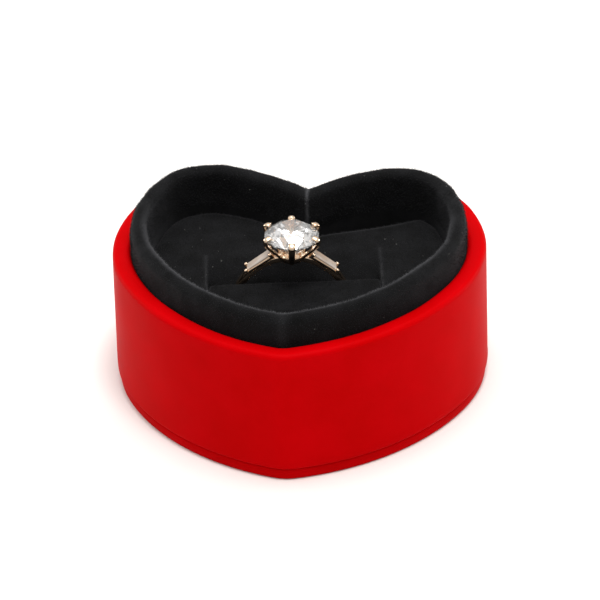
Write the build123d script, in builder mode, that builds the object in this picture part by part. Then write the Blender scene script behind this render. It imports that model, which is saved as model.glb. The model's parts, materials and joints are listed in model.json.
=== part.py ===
"""Heart-shaped ring presentation box with its lid off and a six-claw ring standing in its pad.

Millimetres, +Z up.  The origin is the middle of the underside, +X points to the right and the
heart's tip points along -Y.  Every outline of the box is one heart made of tangent arcs, moved
inwards by the thickness of whatever lies outside it.
"""

from build123d import *
from math import atan2, cos, degrees, radians, sin, sqrt
import os

# --- heart outline: the outside of the red wall -------------------------------------------------
heart_width = 60.0
side_radius = 28.0  # arc through the widest point
lobe_radius = 13.45  # tight arc round each lobe
crown_radius = 35.7  # shallow arc from the lobe to the cleft
front_radius = 40.0  # long arc from the side to the tip
tip_radius = 7.0
crease_radius = 1.5  # smallest radius at the tip of an inner outline, wider than any rounded rim
cleft_radius = 1.6
side_rise = 28.0  # degrees of the side arc above the widest point
side_fall = 26.0  # degrees of the side arc below the widest point
lobe_sweep = 79.0  # degrees of the lobe arc

# --- boards and coverings -----------------------------------------------------------------------
wrap = 0.35  # red soft-touch covering
velvet = 0.6  # black velvet, backing and pile
base_board_thickness = 1.3
base_inset = 0.4  # the bottom board sits this far inside the wall
base_turn_in = 9.0  # covering folded over onto the bottom board
wall_board_thickness = 2.4
wall_turn_in = 12.0  # covering folded down inside the wall
wall_rim_radius = 0.9
collar_board_thickness = 1.4
collar_rise = 4.85  # how far the collar stands above the wall, for a lid to slide over
collar_turn_out = 13.0  # velvet folded down outside the collar
collar_rim_radius = 1.1
glue_line = 0.05

# --- pad ----------------------------------------------------------------------------------------
pad_clearance = 0.3  # between the pad and the collar, all round
floor_drop = 7.35  # pad surface below the top of the collar
pad_card_thickness = 1.0
foam_under_slot = 1.95
pad_rim_radius = 1.1
slot_x, slot_y = -0.3, 0.6
slot_turn = 7.0  # degrees that the slot is turned about Z
slot_half_length = 14.0
slot_clearance = 0.3  # on each side of the band
lip_run = 7.0  # length of the rolled lip behind the slot
lip_depth = 3.0  # how far the lip rolls down before it drops into the slot

# --- flap in front of the slot ------------------------------------------------------------------
flap_reach = 8.5
flap_clearance = 0.3
flap_drop = 0.3  # flap surface below the pad surface
flap_card_thickness = 1.0
flap_rim_radius = 0.5
flap_travel = 10.0  # degrees that the flap gives

# --- ring ---------------------------------------------------------------------------------------
ring_offset = -0.55  # along the slot, from its middle
ring_turn = 1.5  # degrees that the ring is turned back in its slot, towards the X axis
ring_lean = 1.6  # degrees to the right, in the plane of the band
ring_exposed = 5.1  # pad surface above the centre of the band
seat_clearance = 0.3  # under the band
band_radius = 9.8
band_thickness = 1.3
band_width = 1.8
band_round = 0.4
metal_gap = 0.05  # between a stone, or a soldered joint, and the metal round it

stone_radius = 4.4
girdle_rise = 3.1  # above the outside of the band
girdle_thickness = 0.2
table_radius = 2.5
crown_height = 1.4
pavilion_depth = 3.75
culet_radius = 0.1

claw_count = 6
claw_width = 0.8
claw_thickness = 0.7
claw_wall = 0.5  # metal outside the girdle
claw_shoulder = 0.4  # straight part of the claw below the girdle
claw_grip = 0.5  # how far the claw reaches in over the crown
claw_tip = 0.65  # metal above the crown
foot_radius = 1.25
foot_drop = 1.35  # underside of the head below the outside of the band
cup_height = 1.1
cup_flare = 0.35
head_clearance = 0.1  # between the head and the ends of the band, filled by solder

baguette_angle = 32.0  # degrees from the top of the ring to the middle of each side stone
baguette_tilt = 5.5  # degrees that a side stone falls away more steeply than the band
baguette_length = 4.5
baguette_wide = 1.75  # end next to the head
baguette_narrow = 1.6
baguette_height = 0.6
baguette_bevel = 0.2
baguette_seat = 0.4  # flat cut into the band below its outer radius
setting_wall = 0.3
setting_floor = 0.2
setting_height = 0.45
end_claw_radius = 0.26
end_claw_rise = 0.5  # above the rim of the setting

# --- heights and insets that follow -------------------------------------------------------------
base_top = 2 * wrap + base_board_thickness
pad_bottom = base_top + glue_line
foam_bottom = pad_bottom + pad_card_thickness
slot_bottom = foam_bottom + foam_under_slot + velvet
ring_height = slot_bottom + seat_clearance + band_radius
pad_top = ring_height + ring_exposed
collar_top = pad_top + floor_drop
wall_top = collar_top - collar_rise
wall_height = wall_top - base_top
wall_inside = 2 * wrap + wall_board_thickness
collar_outside = wall_inside + glue_line
collar_inside = collar_outside + 2 * velvet + collar_board_thickness
pad_outside = collar_inside + pad_clearance

slot_half_width = band_width / 2 + slot_clearance
lip_radius = (lip_run**2 + lip_depth**2) / (2 * lip_depth)
flap_thickness = flap_card_thickness + 2 * velvet
flap_top = pad_top - flap_drop
flap_bottom = flap_top - flap_thickness
well_bottom = flap_bottom - flap_reach * sin(radians(flap_travel)) - flap_clearance

# --- planes -------------------------------------------------------------------------------------
up = Vector(0, 0, 1)
along_slot = Vector(cos(radians(slot_turn)), sin(radians(slot_turn)), 0)
across_slot = up.cross(along_slot)
slot_plane = Plane(origin=(slot_x, slot_y, 0), x_dir=along_slot, z_dir=up)
slot_section = Plane(origin=slot_plane.origin, x_dir=across_slot, z_dir=along_slot)

ring_centre = slot_plane.origin + along_slot * ring_offset + up * ring_height
ring_turned = along_slot.rotate(Axis.Z, -ring_turn)
ring_across = up.cross(ring_turned)
ring_up = up * cos(radians(ring_lean)) + ring_turned * sin(radians(ring_lean))
ring_along = ring_across.cross(ring_up)
ring_plane = Plane(origin=ring_centre, x_dir=ring_along, z_dir=ring_up)
band_plane = Plane(origin=ring_centre, x_dir=ring_along, z_dir=-ring_across)


def heart_arcs(inset):
    """Right half of the heart, moved inwards: centre x, centre y, radius, first and last angle."""
    side_x = heart_width / 2 - side_radius
    side_top, side_end = radians(side_rise), radians(-side_fall)
    lobe_end = radians(side_rise + lobe_sweep)
    lobe_x = side_x + (side_radius - lobe_radius) * cos(side_top)
    lobe_y = (side_radius - lobe_radius) * sin(side_top)
    crown_x = lobe_x + (lobe_radius - crown_radius) * cos(lobe_end)
    crown_y = lobe_y + (lobe_radius - crown_radius) * sin(lobe_end)
    front_x = side_x + (side_radius - front_radius) * cos(side_end)
    front_y = (side_radius - front_radius) * sin(side_end)
    tip = max(tip_radius - inset, crease_radius)
    tip_y = front_y - sqrt((front_radius - inset - tip) ** 2 - front_x**2)
    cleft_y = crown_y + sqrt((crown_radius - inset + cleft_radius) ** 2 - crown_x**2)
    front_start = degrees(atan2(tip_y - front_y, -front_x))
    crown_end = degrees(atan2(cleft_y - crown_y, -crown_x))
    lowest = front_y - sqrt((front_radius - tip_radius) ** 2 - front_x**2) - tip_radius
    middle = (lobe_y + lobe_radius + lowest) / 2
    return [
        (0, tip_y - middle, tip, -90, front_start),
        (front_x, front_y - middle, front_radius - inset, front_start, -side_fall),
        (side_x, -middle, side_radius - inset, -side_fall, side_rise),
        (lobe_x, lobe_y - middle, lobe_radius - inset, side_rise, side_rise + lobe_sweep),
        (crown_x, crown_y - middle, crown_radius - inset, side_rise + lobe_sweep, crown_end),
        (0, cleft_y - middle, cleft_radius, crown_end - 180, -90),
    ]


def heart(inset):
    """The heart, moved inwards by inset, as a flat sketch."""
    with BuildSketch() as outline:
        with BuildLine():
            for x, y, radius, first, last in heart_arcs(inset):
                CenterArc((x, y), radius, first, last - first)
            mirror(about=Plane.YZ)
        make_face()
    return outline.sketch


# --- bottom board and its red covering ----------------------------------------------------------
with BuildPart() as bottom_board:
    with BuildSketch(Plane.XY.offset(wrap)):
        add(heart(base_inset + wrap))
    extrude(amount=base_board_thickness)

with BuildPart() as bottom_covering:
    with BuildSketch():
        add(heart(base_inset))
    extrude(amount=base_top)
    with BuildSketch(Plane.XY.offset(base_top)):
        add(heart(base_inset + base_turn_in))
    extrude(amount=-wrap, mode=Mode.SUBTRACT)
    add(bottom_board.part, mode=Mode.SUBTRACT)

# --- wall board and its red covering ------------------------------------------------------------
with BuildPart() as wall_board:
    with BuildSketch(Plane.XY.offset(base_top + wrap)):
        add(heart(wrap))
        add(heart(wall_inside - wrap), mode=Mode.SUBTRACT)
    extrude(amount=wall_height - 2 * wrap)
    fillet(wall_board.faces().sort_by(Axis.Z)[-1].edges(), wall_rim_radius - wrap)

with BuildPart() as wall_covering:
    with BuildSketch(Plane.XY.offset(base_top)):
        add(heart(0))
        add(heart(wall_inside), mode=Mode.SUBTRACT)
    extrude(amount=wall_height)
    fillet(wall_covering.faces().sort_by(Axis.Z)[-1].edges(), wall_rim_radius)
    with BuildSketch(Plane.XY.offset(base_top)):
        add(heart(wall_inside - wrap))
        add(heart(wall_inside), mode=Mode.SUBTRACT)
    extrude(amount=wall_height - wall_turn_in, mode=Mode.SUBTRACT)
    add(wall_board.part, mode=Mode.SUBTRACT)

# --- collar board and its velvet ----------------------------------------------------------------
with BuildPart() as collar_board:
    with BuildSketch(Plane.XY.offset(base_top)):
        add(heart(collar_outside + velvet))
        add(heart(collar_inside - velvet), mode=Mode.SUBTRACT)
    extrude(amount=collar_top - velvet - base_top)
    fillet(collar_board.faces().sort_by(Axis.Z)[-1].edges(), collar_rim_radius - velvet)

with BuildPart() as collar_velvet:
    with BuildSketch(Plane.XY.offset(base_top)):
        add(heart(collar_outside))
        add(heart(collar_inside), mode=Mode.SUBTRACT)
    extrude(amount=collar_top - base_top)
    fillet(collar_velvet.faces().sort_by(Axis.Z)[-1].edges(), collar_rim_radius)
    with BuildSketch(Plane.XY.offset(base_top)):
        add(heart(collar_outside))
        add(heart(collar_outside + velvet), mode=Mode.SUBTRACT)
    extrude(amount=collar_top - collar_turn_out - base_top, mode=Mode.SUBTRACT)
    add(collar_board.part, mode=Mode.SUBTRACT)


# --- pad: card, foam and velvet -----------------------------------------------------------------
def slot_room(grow):
    """Room cut in the pad: the slot, the rolled lip behind it and the well under the flap."""
    ceiling = pad_top + velvet
    slot_edge = slot_half_width + grow
    well_front = -slot_half_width - flap_reach - flap_clearance - grow
    lip_end = slot_half_width + lip_run
    lip_centre = pad_top - lip_radius
    rolled = lip_radius - grow
    lip_foot = lip_centre + sqrt(rolled**2 - (lip_end - slot_edge) ** 2)
    lip_start = degrees(atan2(lip_foot - lip_centre, slot_edge - lip_end))
    with BuildPart() as room:
        with BuildSketch(slot_section):
            with BuildLine():
                Polyline(
                    (lip_end, lip_centre + rolled), (lip_end, ceiling), (well_front, ceiling),
                    (well_front, well_bottom - grow), (-slot_edge, well_bottom - grow),
                    (-slot_edge, slot_bottom - grow), (slot_edge, slot_bottom - grow),
                    (slot_edge, lip_foot),
                )
                CenterArc((lip_end, lip_centre), rolled, lip_start, 90 - lip_start)
            make_face()
        extrude(amount=slot_half_length + grow, both=True)
    return room.part


foam_room = slot_room(velvet)
pad_room = slot_room(0)

with BuildPart() as pad_card:
    with BuildSketch(Plane.XY.offset(pad_bottom)):
        add(heart(pad_outside + velvet))
    extrude(amount=pad_card_thickness)

with BuildPart() as pad_foam:
    with BuildSketch(Plane.XY.offset(foam_bottom)):
        add(heart(pad_outside + velvet))
    extrude(amount=pad_top - velvet - foam_bottom)
    fillet(pad_foam.faces().sort_by(Axis.Z)[-1].edges(), pad_rim_radius - velvet)
    add(foam_room, mode=Mode.SUBTRACT)

with BuildPart() as pad_velvet:
    with BuildSketch(Plane.XY.offset(foam_bottom)):
        add(heart(pad_outside))
    extrude(amount=pad_top - foam_bottom)
    fillet(pad_velvet.faces().sort_by(Axis.Z)[-1].edges(), pad_rim_radius)
    add(pad_room, mode=Mode.SUBTRACT)
    add(pad_foam.part, mode=Mode.SUBTRACT)


# --- flap: card and velvet ----------------------------------------------------------------------
def flap_outline(inset):
    """Plan of the flap, moved inwards by inset, in the plane of the slot."""
    with BuildSketch() as outline:
        with Locations((0, -slot_half_width - flap_reach / 2)):
            Rectangle(2 * (slot_half_length - flap_clearance - inset), flap_reach - 2 * inset)
    return outline.sketch


with BuildPart() as flap_card:
    with BuildSketch(slot_plane.offset(flap_bottom + velvet)):
        add(flap_outline(velvet))
    extrude(amount=flap_card_thickness)

with BuildPart() as flap_velvet:
    with BuildSketch(slot_plane.offset(flap_bottom)):
        add(flap_outline(0))
    extrude(amount=flap_thickness)
    fillet(flap_velvet.faces().sort_by(Axis.Z)[-1].edges(), flap_rim_radius)
    add(flap_card.part, mode=Mode.SUBTRACT)

# --- ring: band ---------------------------------------------------------------------------------
girdle_height = band_radius + girdle_rise  # this and foot_height are above the band's centre
foot_height = band_radius - foot_drop
girdle_bottom = girdle_height - girdle_thickness / 2
girdle_top = girdle_height + girdle_thickness / 2
cup_radius = foot_radius + claw_thickness / 2
seat_radius = band_radius - baguette_seat
claw_offset = end_claw_radius + metal_gap


def side_plane(angle, facing):
    """Seat of a side stone: its place on the band and the way it faces, as angles from the top."""
    place = ring_along * sin(radians(angle)) + ring_up * cos(radians(angle))
    outwards = ring_along * sin(radians(facing)) + ring_up * cos(radians(facing))
    return Plane(ring_centre + place * seat_radius, ring_across.cross(outwards), outwards)


def side_outline(grow):
    """Plan of a side stone, moved outwards by grow, wide at its +X end."""
    half = baguette_length / 2 + grow
    wide, narrow = baguette_wide / 2 + grow, baguette_narrow / 2 + grow
    with BuildSketch() as outline:
        with BuildLine():
            Polyline((half, -wide), (half, wide), (-half, narrow), (-half, -narrow), close=True)
        make_face()
    return outline.sketch


left_side = side_plane(-baguette_angle, -baguette_angle - baguette_tilt)
right_side = side_plane(baguette_angle, baguette_angle + baguette_tilt)
right_side = Plane(right_side.origin, -right_side.x_dir, right_side.z_dir)

with BuildPart() as ring_band:
    with BuildSketch(band_plane):
        Circle(band_radius)
        Circle(band_radius - band_thickness, mode=Mode.SUBTRACT)
    extrude(amount=band_width / 2, both=True)
    fillet(ring_band.edges().filter_by(GeomType.CIRCLE), band_round)
    with BuildSketch(band_plane):
        with BuildLine():
            Polyline(
                (0, foot_height - head_clearance),
                (cup_radius + head_clearance, foot_height - head_clearance),
                (stone_radius + claw_wall + head_clearance, girdle_bottom - claw_shoulder),
                (0, girdle_bottom - claw_shoulder), close=True,
            )
        make_face()
    revolve(axis=Axis(ring_centre, ring_up), mode=Mode.SUBTRACT)
    with BuildSketch(left_side, right_side):
        add(side_outline(claw_offset + end_claw_radius))
    extrude(amount=setting_height, mode=Mode.SUBTRACT)


# --- ring: side stones and their settings -------------------------------------------------------
def side_stone(seat):
    """Tapered baguette with bevelled edges."""
    with BuildPart() as stone:
        with BuildSketch(seat.offset(setting_floor)):
            add(side_outline(0))
        extrude(amount=baguette_height)
        chamfer(stone.faces().filter_by(seat).edges(), baguette_bevel)
    return stone


def side_setting(seat):
    """Bar setting with a pocket for the baguette and a claw at each corner."""
    half = baguette_length / 2 + claw_offset
    wide, narrow = baguette_wide / 2 + claw_offset, baguette_narrow / 2 + claw_offset
    with BuildPart() as setting:
        with BuildSketch(seat):
            add(side_outline(setting_wall))
        extrude(amount=setting_height)
        with BuildSketch(seat):
            with Locations((half, wide), (half, -wide), (-half, narrow), (-half, -narrow)):
                Circle(end_claw_radius)
        extrude(amount=setting_height + end_claw_rise)
        with BuildSketch(seat.offset(setting_floor - metal_gap)):
            add(side_outline(metal_gap))
        extrude(amount=setting_height, mode=Mode.SUBTRACT)
    return setting


left_baguette = side_stone(left_side)
right_baguette = side_stone(right_side)
left_setting = side_setting(left_side)
right_setting = side_setting(right_side)

# --- ring: centre stone and six-claw head -------------------------------------------------------
with BuildPart() as centre_stone:
    with BuildSketch(band_plane):
        with BuildLine():
            Polyline(
                (0, girdle_bottom - pavilion_depth), (culet_radius, girdle_bottom - pavilion_depth),
                (stone_radius, girdle_bottom), (stone_radius, girdle_top),
                (table_radius, girdle_top + crown_height), (0, girdle_top + crown_height),
                close=True,
            )
        make_face()
    revolve(axis=Axis(ring_centre, ring_up))

crown_slope = crown_height / (stone_radius - table_radius)
grip_height = girdle_top + claw_grip * crown_slope + metal_gap

with BuildPart() as ring_head:
    with BuildSketch(band_plane):
        with BuildLine():
            Polyline(
                (0, foot_height), (cup_radius, foot_height),
                (cup_radius + cup_flare, foot_height + cup_height),
                (foot_radius, foot_height + cup_height), (0, foot_height + cup_flare), close=True,
            )
        make_face()
    revolve(axis=Axis(ring_centre, ring_up))
    for k in range(claw_count):
        outwards = ring_across.rotate(Axis((0, 0, 0), ring_up), 360 / claw_count * k)
        with BuildSketch(Plane(ring_centre, outwards, outwards.cross(ring_up))):
            with BuildLine():
                Polyline(
                    (foot_radius - claw_thickness / 2, foot_height),
                    (foot_radius + claw_thickness / 2, foot_height),
                    (stone_radius + claw_wall, girdle_bottom - claw_shoulder),
                    (stone_radius + claw_wall, girdle_top + claw_tip / 2),
                    (stone_radius, grip_height + claw_tip),
                    (stone_radius - claw_grip, grip_height + claw_tip),
                    (stone_radius - claw_grip, grip_height),
                    (stone_radius + metal_gap, girdle_top + metal_gap),
                    (stone_radius + metal_gap, girdle_bottom - metal_gap), close=True,
                )
            make_face()
        extrude(amount=claw_width / 2, both=True)

# --- files --------------------------------------------------------------------------------------
pieces = {
    "bottom_board": bottom_board,
    "bottom_covering": bottom_covering,
    "wall_board": wall_board,
    "wall_covering": wall_covering,
    "collar_board": collar_board,
    "collar_velvet": collar_velvet,
    "pad_card": pad_card,
    "pad_foam": pad_foam,
    "pad_velvet": pad_velvet,
    "flap_card": flap_card,
    "flap_velvet": flap_velvet,
    "ring_band": ring_band,
    "ring_head": ring_head,
    "centre_stone": centre_stone,
    "left_baguette": left_baguette,
    "right_baguette": right_baguette,
    "left_setting": left_setting,
    "right_setting": right_setting,
}

os.makedirs("parts", exist_ok=True)
for name, piece in pieces.items():
    piece.part.label = name
    export_step(piece.part, f"parts/{name}.step")
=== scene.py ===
"""Looks of the heart-shaped ring box: red covered walls, black velvet and a rose-gold ring."""

import json
import math

import bmesh
import bpy
import numpy as np
from mathutils import Matrix, Vector


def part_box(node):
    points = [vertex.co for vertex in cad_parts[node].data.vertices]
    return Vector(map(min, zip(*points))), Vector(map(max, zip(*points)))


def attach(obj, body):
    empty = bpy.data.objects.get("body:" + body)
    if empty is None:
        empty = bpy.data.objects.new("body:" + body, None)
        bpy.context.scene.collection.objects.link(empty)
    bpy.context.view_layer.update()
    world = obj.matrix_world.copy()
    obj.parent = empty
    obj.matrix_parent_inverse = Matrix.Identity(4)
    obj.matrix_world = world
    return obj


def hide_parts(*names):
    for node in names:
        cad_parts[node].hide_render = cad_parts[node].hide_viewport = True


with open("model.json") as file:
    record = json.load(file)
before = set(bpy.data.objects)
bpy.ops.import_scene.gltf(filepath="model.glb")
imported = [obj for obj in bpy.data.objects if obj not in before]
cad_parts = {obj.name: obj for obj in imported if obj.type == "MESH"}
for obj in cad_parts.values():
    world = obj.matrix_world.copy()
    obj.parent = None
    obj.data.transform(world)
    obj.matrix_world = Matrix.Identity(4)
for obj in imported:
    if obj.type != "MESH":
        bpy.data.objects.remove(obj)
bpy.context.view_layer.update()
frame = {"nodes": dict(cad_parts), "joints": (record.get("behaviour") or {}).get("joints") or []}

MM = 0.001  # pieces are drawn in millimetres and scaled to metres when they are finished

# --- heart outline, in millimetres --------------------------------------------------------------
SIDE_RADIUS = 28.0
LOBE_RADIUS = 13.45
CROWN_RADIUS = 35.7
FRONT_RADIUS = 40.0
TIP_RADIUS = 7.0
CREASE_RADIUS = 1.5  # least radius of the tip's outline, however far it is moved inwards
CLEFT_RADIUS = 1.6
SIDE_RISE, SIDE_FALL, LOBE_SWEEP = 28.0, 26.0, 79.0  # degrees
ARC_STEPS = (10, 70, 60, 60, 30, 8)  # along tip, front, side, lobe, crown and cleft

# --- thicknesses and clearances, in millimetres -------------------------------------------------
WRAP = 0.35
VELVET = 0.6
BOARD = 2.4
COLLAR_BOARD = 1.4
GLUE = 0.05
BASE_INSET = 0.4
BASE_TURN_IN = 9.0
WALL_TURN_IN = 12.0
WALL_RIM = 0.9
COLLAR_TURN_OUT = 13.0
COLLAR_RIM = 1.1  # inner edge
COLLAR_OUTER_RIM = 1.3
CLEFT_SHIFT = 0.75  # the velvet's fold at the cleft is this far to the right of the middle
PAD_CLEARANCE = 0.3
PAD_RIM = 1.1
LIP_RUN, LIP_DEPTH = 7.0, 3.0
SLOT_X, SLOT_Y = -0.3, 0.6
SLOT_HALF_LENGTH = 14.0
FLAP_REACH, FLAP_CLEARANCE = 8.5, 0.3
RIPPLE_ROOM = 0.15  # more room at the flap's front for the ripples in its velvet
WELL_ROOM = 0.6  # below the flap when it is pushed right down
PAD_FOLD = (3.0, 13.4), (13.8, 17.1)  # where the pad's velvet folds down at the back right
PAD_SINK, PAD_SINK_RUN = 3.2, 1.4  # how deep it goes down behind that line, and over what run

WALL_INSIDE = 2 * WRAP + BOARD
COLLAR_OUTSIDE = WALL_INSIDE + GLUE
COLLAR_INSIDE = COLLAR_OUTSIDE + 2 * VELVET + COLLAR_BOARD
PAD_OUTSIDE = COLLAR_INSIDE + PAD_CLEARANCE

# --- ring, in millimetres -----------------------------------------------------------------------
BAND_RADIUS, BAND_THICKNESS, BAND_WIDTH = 9.8, 1.3, 1.8
SLOT_CLEARANCE = 0.3  # between the band and the slot, at each side and below
HALF_SLOT = BAND_WIDTH / 2 + SLOT_CLEARANCE
RING_OFFSET, RING_TURN, RING_LEAN = -0.55, 1.5, 1.6
STONE_RADIUS, TABLE_RADIUS = 4.4, 2.5
GIRDLE_HEIGHT, GIRDLE_THICKNESS = 12.9, 0.2
CROWN_HEIGHT, PAVILION_DEPTH = 1.4, 3.75
FOOT_RADIUS, FOOT_HEIGHT = 1.25, 8.45
CLAW_COUNT = 6
SIDE_ANGLE, SIDE_TILT, SIDE_SEAT = 32.0, 5.5, 0.4
SIDE_LENGTH, SIDE_WIDE, SIDE_NARROW = 4.5, 1.75, 1.6


# --- frame --------------------------------------------------------------------------------------
def low(node):
    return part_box(node)[0][2] / MM


def high(node):
    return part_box(node)[1][2] / MM


heart_width = (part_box("wall_covering")[1][0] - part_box("wall_covering")[0][0]) / MM
base_top = high("bottom_covering")
wall_top = high("wall_covering")
collar_top = high("collar_velvet")
pad_top = high("pad_velvet")
foam_bottom = low("pad_foam")
slot_bottom = low("ring_band") - SLOT_CLEARANCE
flap_bottom, flap_top = low("flap_velvet"), high("flap_velvet")

hinge = next(joint for joint in frame["joints"] if joint["name"] == "flap_give")
slot_turn = math.atan2(-hinge["axis"][1], -hinge["axis"][0])
slot_matrix = Matrix.Translation((SLOT_X, SLOT_Y, 0)) @ Matrix.Rotation(slot_turn, 4, "Z")
band_centre_height = low("ring_band") + BAND_RADIUS
ring_matrix = (
    slot_matrix
    @ Matrix.Translation((RING_OFFSET, 0, band_centre_height))
    @ Matrix.Rotation(-math.radians(RING_TURN), 4, "Z")
    @ Matrix.Rotation(math.radians(RING_LEAN), 4, "Y")
)


# --- colours and nodes --------------------------------------------------------------------------
def linear(hex_colour):
    """An sRGB hex colour as linear RGBA."""
    parts = [int(hex_colour[i:i + 2], 16) / 255 for i in (1, 3, 5)]
    return [c / 12.92 if c <= 0.04045 else ((c + 0.055) / 1.055) ** 2.4 for c in parts] + [1.0]


def add_node(tree, kind, inputs=None, **settings):
    """Adds a node. Each value in inputs is a setting, or the socket to link from."""
    made = tree.nodes.new(kind)
    for name, value in settings.items():
        setattr(made, name, value)
    for name, value in (inputs or {}).items():
        if isinstance(value, bpy.types.NodeSocket):
            tree.links.new(value, made.inputs[name])
        else:
            made.inputs[name].default_value = value
    return made


def new_material(name, surface):
    """A material with a Principled shader whose named sockets are set. Returns all three."""
    material = bpy.data.materials.new(name)
    material.use_nodes = True
    tree = material.node_tree
    shader = tree.nodes["Principled BSDF"]
    for socket, value in surface.items():
        shader.inputs[socket].default_value = value
    return material, tree, shader


def noise(tree, size_mm, detail=3.0, roughness=0.5):
    """Noise on object coordinates, whose features are about size_mm across."""
    place = add_node(tree, "ShaderNodeTexCoord")
    return add_node(
        tree, "ShaderNodeTexNoise",
        {"Vector": place.outputs["Object"], "Scale": 1 / (size_mm * MM), "Detail": detail,
         "Roughness": roughness},
    ).outputs["Fac"]


def ramp(tree, factor, stops):
    """A colour ramp through (position, hex colour) stops."""
    made = add_node(tree, "ShaderNodeValToRGB", {"Fac": factor})
    elements = made.color_ramp.elements
    elements[0].position, elements[0].color = stops[0][0], linear(stops[0][1])
    elements[1].position, elements[1].color = stops[-1][0], linear(stops[-1][1])
    for position, colour in stops[1:-1]:
        elements.new(position).color = linear(colour)
    return made.outputs["Color"]


def bump(tree, shader, height, depth_mm, strength=1.0, below=None):
    """Bump of that depth on the shader, on top of an earlier bump."""
    inputs = {"Height": height, "Distance": depth_mm * MM, "Strength": strength}
    if below:
        inputs["Normal"] = below
    made = add_node(tree, "ShaderNodeBump", inputs)
    tree.links.new(made.outputs["Normal"], shader.inputs["Normal"])
    return made.outputs["Normal"]


# --- materials ----------------------------------------------------------------------------------
def soft_touch_covering():
    """Soft-touch coated paper, dyed through and glued over board: silky, with no clear highlight,
    a fine calendered grain and slow ripples where the glue pulls it down."""
    material, tree, shader = new_material(
        "soft_touch_covering", {"Roughness": 0.45, "Specular IOR Level": 0.01},
    )
    mottle = noise(tree, 7.0)
    tree.links.new(
        ramp(tree, mottle, [(0.3, "#B00002"), (0.7, "#B80005")]), shader.inputs["Base Color"]
    )
    grain = noise(tree, 0.22, detail=2.0)  # the real grain is about 0.05 mm, too fine to show
    first = bump(tree, shader, grain, 0.02, 0.35)
    bump(tree, shader, noise(tree, 9.0, detail=1.0), 0.25, 0.3, below=first)
    return material


def pile_colour(tree, lay, flat_colours, highlight_colour):
    """Colour of the pile: darker and paler patches by its lay, plus a painted highlight on rims and folds.
    """
    patches = ramp(tree, lay, [(0.35, flat_colours[0]), (0.65, flat_colours[1])])
    painted_highlight = add_node(tree, "ShaderNodeAttribute", attribute_name="pile_highlight_paint").outputs["Fac"]
    mixed = add_node(tree, "ShaderNodeMix", {"Factor": painted_highlight}, data_type="RGBA")
    tree.links.new(patches, mixed.inputs["A"])
    mixed.inputs["B"].default_value = linear(highlight_colour)
    return mixed.outputs["Result"]


def velvet_backing():
    """Short-pile polyester velvet, dyed black: swallows light head-on and shows a grey bloom
    where the pile is seen from the side."""
    material, tree, shader = new_material(
        "black_velvet",
        {"Roughness": 0.95, "Specular IOR Level": 0.1, "Sheen Weight": 0.3, "Sheen Roughness": 0.45,
         "Sheen Tint": linear("#77777A")},
    )
    lay = noise(tree, 3.5, detail=4.0)  # patches where the pile lies another way
    # the last colour, #3C3C3E, is a painted highlight mixed in along rims and folds
    tree.links.new(
        pile_colour(tree, lay, ("#090909", "#121213"), "#3C3C3E"), shader.inputs["Base Color"]
    )
    tufts = noise(tree, 0.3, detail=3.0, roughness=0.7)
    first = bump(tree, shader, tufts, 0.12, 0.6)
    bump(tree, shader, lay, 0.25, 0.3, below=first)
    return material


def pile_fibre():
    """Single polyester fibres of the pile: slightly paler than the backing they shade."""
    material, tree, shader = new_material(
        "pile_fibre",
        {"Roughness": 0.7, "Specular IOR Level": 0.2, "Sheen Weight": 0.2, "Sheen Roughness": 0.5,
         "Sheen Tint": linear("#808084")},
    )
    # the last colour, #58585A, is a painted highlight on the fibres along rims and folds
    tree.links.new(
        pile_colour(tree, noise(tree, 2.5), ("#0C0C0D", "#1A1A1C"), "#58585A"),
        shader.inputs["Base Color"],
    )
    return material


def stray_lint():
    """Cotton lint and loose fibres lying on the velvet: pale grey, matt."""
    material, tree, shader = new_material("stray_lint", {"Roughness": 0.9, "Specular IOR Level": 0.1})
    tree.links.new(
        ramp(tree, noise(tree, 1.0), [(0.3, "#6E6C68"), (0.7, "#B4B2AC")]),
        shader.inputs["Base Color"],
    )
    return material


def polished_gold():
    """Rose-gold plated silver, cast and polished: clear reflections with faint wear."""
    material, tree, shader = new_material("polished_rose_gold", {"Metallic": 1.0})
    tree.links.new(
        ramp(tree, noise(tree, 1.5), [(0.3, "#F1D2B2"), (0.7, "#F7DCC0")]),
        shader.inputs["Base Color"],
    )
    worn = add_node(
        tree, "ShaderNodeMapRange",
        {"Value": noise(tree, 0.6), "To Min": 0.07, "To Max": 0.2},
    )
    tree.links.new(worn.outputs["Result"], shader.inputs["Roughness"])
    bump(tree, shader, noise(tree, 0.5), 0.01, 0.3)
    return material


def cut_zirconia(name, clear, colours):
    """Cubic zirconia, cut and polished: far brighter reflections than glass. A clear stone shows
    what lies under it; in a less clear one the base colour is a painted brightness that stands in
    for the light of its many small facets."""
    material, tree, shader = new_material(
        name, {"Roughness": 0.0, "IOR": 2.4, "Transmission Weight": clear},
    )
    tree.links.new(
        ramp(tree, noise(tree, 4.0), [(0.3, colours[0]), (0.7, colours[1])]),
        shader.inputs["Base Color"],
    )
    return material


def raw_greyboard():
    """Recycled greyboard, cut with a knife: matt, grey-brown, with flecks of fibre."""
    material, tree, shader = new_material(
        "raw_greyboard", {"Roughness": 0.9, "Specular IOR Level": 0.2}
    )
    tree.links.new(
        ramp(tree, noise(tree, 0.8, detail=6.0), [(0.3, "#7B746A"), (0.55, "#8E877C"), (0.8, "#A49C90")]),
        shader.inputs["Base Color"],
    )
    bump(tree, shader, noise(tree, 0.4, detail=4.0), 0.05, 0.6)
    return material


def cut_foam():
    """Black polyurethane foam, cut with a hot wire: open pores, no shine."""
    material, tree, shader = new_material("cut_foam", {"Roughness": 1.0, "Specular IOR Level": 0.1})
    place = add_node(tree, "ShaderNodeTexCoord")
    pores = add_node(
        tree, "ShaderNodeTexVoronoi", {"Vector": place.outputs["Object"], "Scale": 1 / (0.6 * MM)}
    ).outputs["Distance"]
    tree.links.new(
        ramp(tree, pores, [(0.1, "#0B0B0B"), (0.6, "#2E2E30")]), shader.inputs["Base Color"]
    )
    bump(tree, shader, pores, 0.2, 0.8)
    return material


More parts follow.
